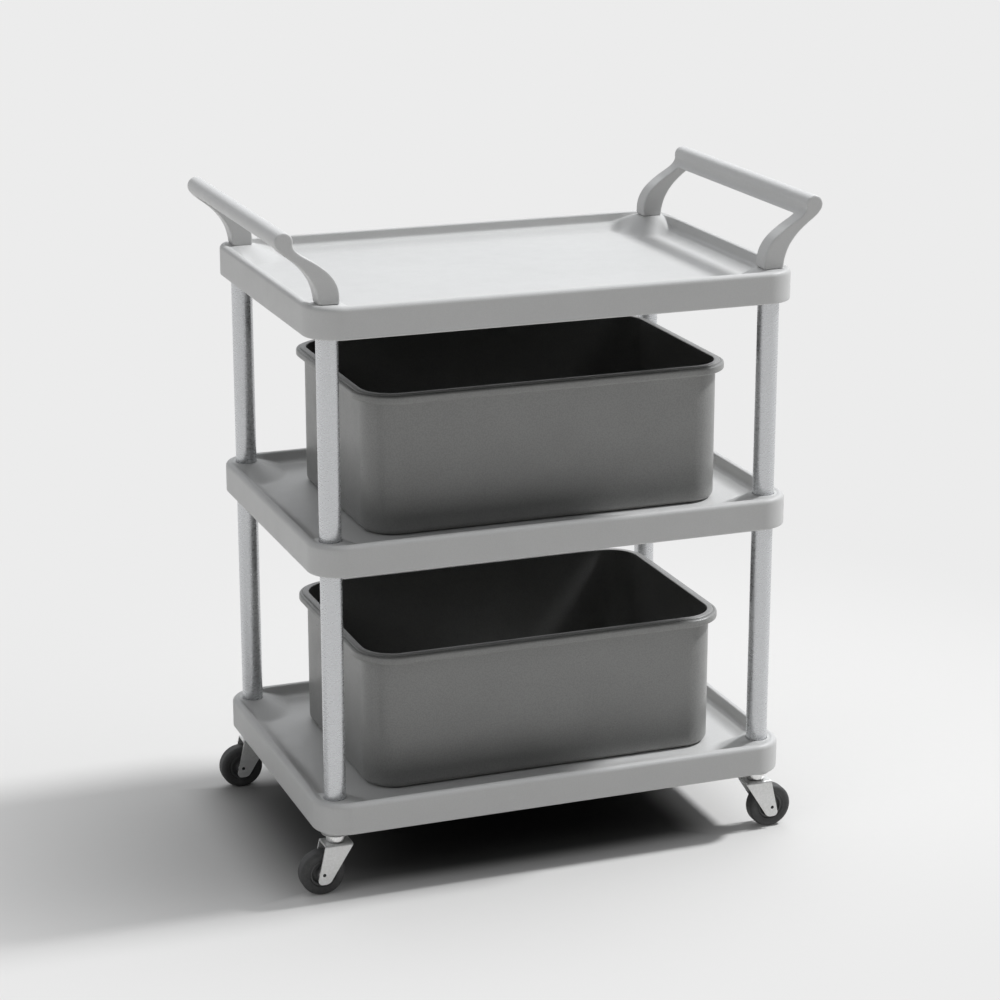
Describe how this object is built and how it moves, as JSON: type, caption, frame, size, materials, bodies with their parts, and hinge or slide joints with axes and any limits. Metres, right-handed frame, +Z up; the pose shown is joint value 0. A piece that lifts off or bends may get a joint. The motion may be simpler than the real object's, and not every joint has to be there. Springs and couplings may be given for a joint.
{
  "type": "food service trolley",
  "caption": "Three-shelf food service trolley with moulded tray shelves, round metal posts, end handles, swivel casters and lift-out dish tubs.",
  "frame": {"origin": "on the floor, under the centre of the shelves", "axes": "+Z up, +X along the long side of the shelves towards the right-hand handle, -Y towards the front long side"},
  "size_m": [0.781, 0.492, 0.929],
  "materials": {
    "shelf_plastic": "light grey moulded polypropylene with a fine satin grain",
    "post_aluminium": "mill finish tube, brushed round its axis",
    "dark_plastic_fixing": "black nylon",
    "zinc_steel": "bright zinc plated",
    "brass_insert": "plain brass",
    "fork_paint": "light grey coated steel",
    "ball_steel": "polished",
    "dark_steel": "black oxide",
    "wheel_plastic": "dark grey nylon",
    "tyre_rubber": "dark grey non-marking rubber, matte",
    "tub_plastic": "dark grey satin plastic with a fine grain"
  },
  "bodies": {
    "frame": {"top_shelf": "shelf_plastic", "middle_shelf": "shelf_plastic", "bottom_shelf": "shelf_plastic", "upper_post_front_left": "post_aluminium", "lower_post_front_left": "post_aluminium", "upper_post_front_right": "post_aluminium", "lower_post_front_right": "post_aluminium", "upper_post_rear_left": "post_aluminium", "lower_post_rear_left": "post_aluminium", "upper_post_rear_right": "post_aluminium", "lower_post_rear_right": "post_aluminium", "post_thread_plugs": "dark_plastic_fixing", "joining_studs": "zinc_steel", "left_handle": "shelf_plastic", "right_handle": "shelf_plastic", "handle_thread_inserts": "brass_insert", "caster_sockets": "shelf_plastic", "caster_stems": "zinc_steel", "swivel_cups": "zinc_steel", "swivel_lower_cups": "zinc_steel"},
    "caster_front_left": {"caster_fork_front_left": "fork_paint", "swivel_balls_front_left": "ball_steel", "axle_pin_front_left": "dark_steel", "thrust_washers_front_left": "zinc_steel"},
    "wheel_front_left": {"wheel_bushing_front_left": "zinc_steel", "wheel_centre_front_left": "wheel_plastic", "tyre_front_left": "tyre_rubber"},
    "caster_front_right": {"caster_fork_front_right": "fork_paint", "swivel_balls_front_right": "ball_steel", "axle_pin_front_right": "dark_steel", "thrust_washers_front_right": "zinc_steel"},
    "wheel_front_right": {"wheel_bushing_front_right": "zinc_steel", "wheel_centre_front_right": "wheel_plastic", "tyre_front_right": "tyre_rubber"},
    "caster_rear_left": {"caster_fork_rear_left": "fork_paint", "swivel_balls_rear_left": "ball_steel", "axle_pin_rear_left": "dark_steel", "thrust_washers_rear_left": "zinc_steel"},
    "wheel_rear_left": {"wheel_bushing_rear_left": "zinc_steel", "wheel_centre_rear_left": "wheel_plastic", "tyre_rear_left": "tyre_rubber"},
    "caster_rear_right": {"caster_fork_rear_right": "fork_paint", "swivel_balls_rear_right": "ball_steel", "axle_pin_rear_right": "dark_steel", "thrust_washers_rear_right": "zinc_steel"},
    "wheel_rear_right": {"wheel_bushing_rear_right": "zinc_steel", "wheel_centre_rear_right": "wheel_plastic", "tyre_rear_right": "tyre_rubber"},
    "middle_tub": {"middle_tub": "tub_plastic"},
    "lower_tub": {"lower_tub": "tub_plastic"}
  },
  "joints": [
    {"name": "swivel_front_left", "type": "hinge", "parent": "frame", "child": "caster_front_left", "pos_m": [-0.3187, -0.2071, 0.076], "axis": [0, 0, 1], "continuous": true},
    {"name": "spin_front_left", "type": "hinge", "parent": "caster_front_left", "child": "wheel_front_left", "pos_m": [-0.3403, -0.2071, 0.03175], "axis": [0, 1, 0], "continuous": true},
    {"name": "swivel_front_right", "type": "hinge", "parent": "frame", "child": "caster_front_right", "pos_m": [0.3187, -0.2071, 0.076], "axis": [0, 0, 1], "continuous": true},
    {"name": "spin_front_right", "type": "hinge", "parent": "caster_front_right", "child": "wheel_front_right", "pos_m": [0.3403, -0.2071, 0.03175], "axis": [0, 1, 0], "continuous": true},
    {"name": "swivel_rear_left", "type": "hinge", "parent": "frame", "child": "caster_rear_left", "pos_m": [-0.3187, 0.2071, 0.076], "axis": [0, 0, 1], "continuous": true},
    {"name": "spin_rear_left", "type": "hinge", "parent": "caster_rear_left", "child": "wheel_rear_left", "pos_m": [-0.3403, 0.2071, 0.03175], "axis": [0, 1, 0], "continuous": true},
    {"name": "swivel_rear_right", "type": "hinge", "parent": "frame", "child": "caster_rear_right", "pos_m": [0.3187, 0.2071, 0.076], "axis": [0, 0, 1], "continuous": true},
    {"name": "spin_rear_right", "type": "hinge", "parent": "caster_rear_right", "child": "wheel_rear_right", "pos_m": [0.3403, 0.2071, 0.03175], "axis": [0, 1, 0], "continuous": true},
    {"name": "lift_middle_tub", "type": "slide", "parent": "frame", "child": "middle_tub", "axis": [0, 0, 1], "range_m": [0, 0.095]},
    {"name": "lift_lower_tub", "type": "slide", "parent": "frame", "child": "lower_tub", "axis": [0, 0, 1], "range_m": [0, 0.14]}
  ]
}
